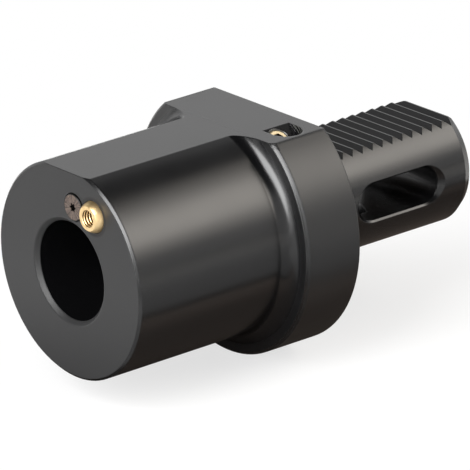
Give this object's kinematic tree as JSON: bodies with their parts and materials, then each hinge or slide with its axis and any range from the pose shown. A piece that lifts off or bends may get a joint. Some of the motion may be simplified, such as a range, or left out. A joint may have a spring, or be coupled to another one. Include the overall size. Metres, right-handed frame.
{
  "type": "vdi tool holder",
  "caption": "Turret tool holder with a toothed cylindrical shank, a flange, a taper socket with a drift slot and a swivelling coolant nozzle.",
  "frame": {"origin": "on the tool axis, in the plane of the flange's seating face", "axes": "+Y from the head towards the shank's end, +Z out of the toothing and the long flat"},
  "size_m": [0.083, 0.1452, 0.0737],
  "materials": {
    "blackened_steel": "case-hardened steel, turned and ground, then blackened",
    "turned_brass": "bright turned",
    "phosphated_steel": "manganese phosphated",
    "nitrile_rubber": "moulded, matt"
  },
  "bodies": {
    "holder": {"holder_body": "blackened_steel", "nozzle_seal": "nitrile_rubber", "nozzle_clamp_screw": "phosphated_steel", "coolant_plug": "turned_brass", "shank_seal": "nitrile_rubber"},
    "nozzle": {"nozzle_ball": "turned_brass"}
  },
  "joints": [
    {"name": "nozzle_swivel", "type": "hinge", "parent": "holder", "child": "nozzle", "pos_m": [0.01304, -0.07795, 0.02086], "axis": [0.848, 0, -0.5299], "range_deg": [-15, 15]}
  ]
}
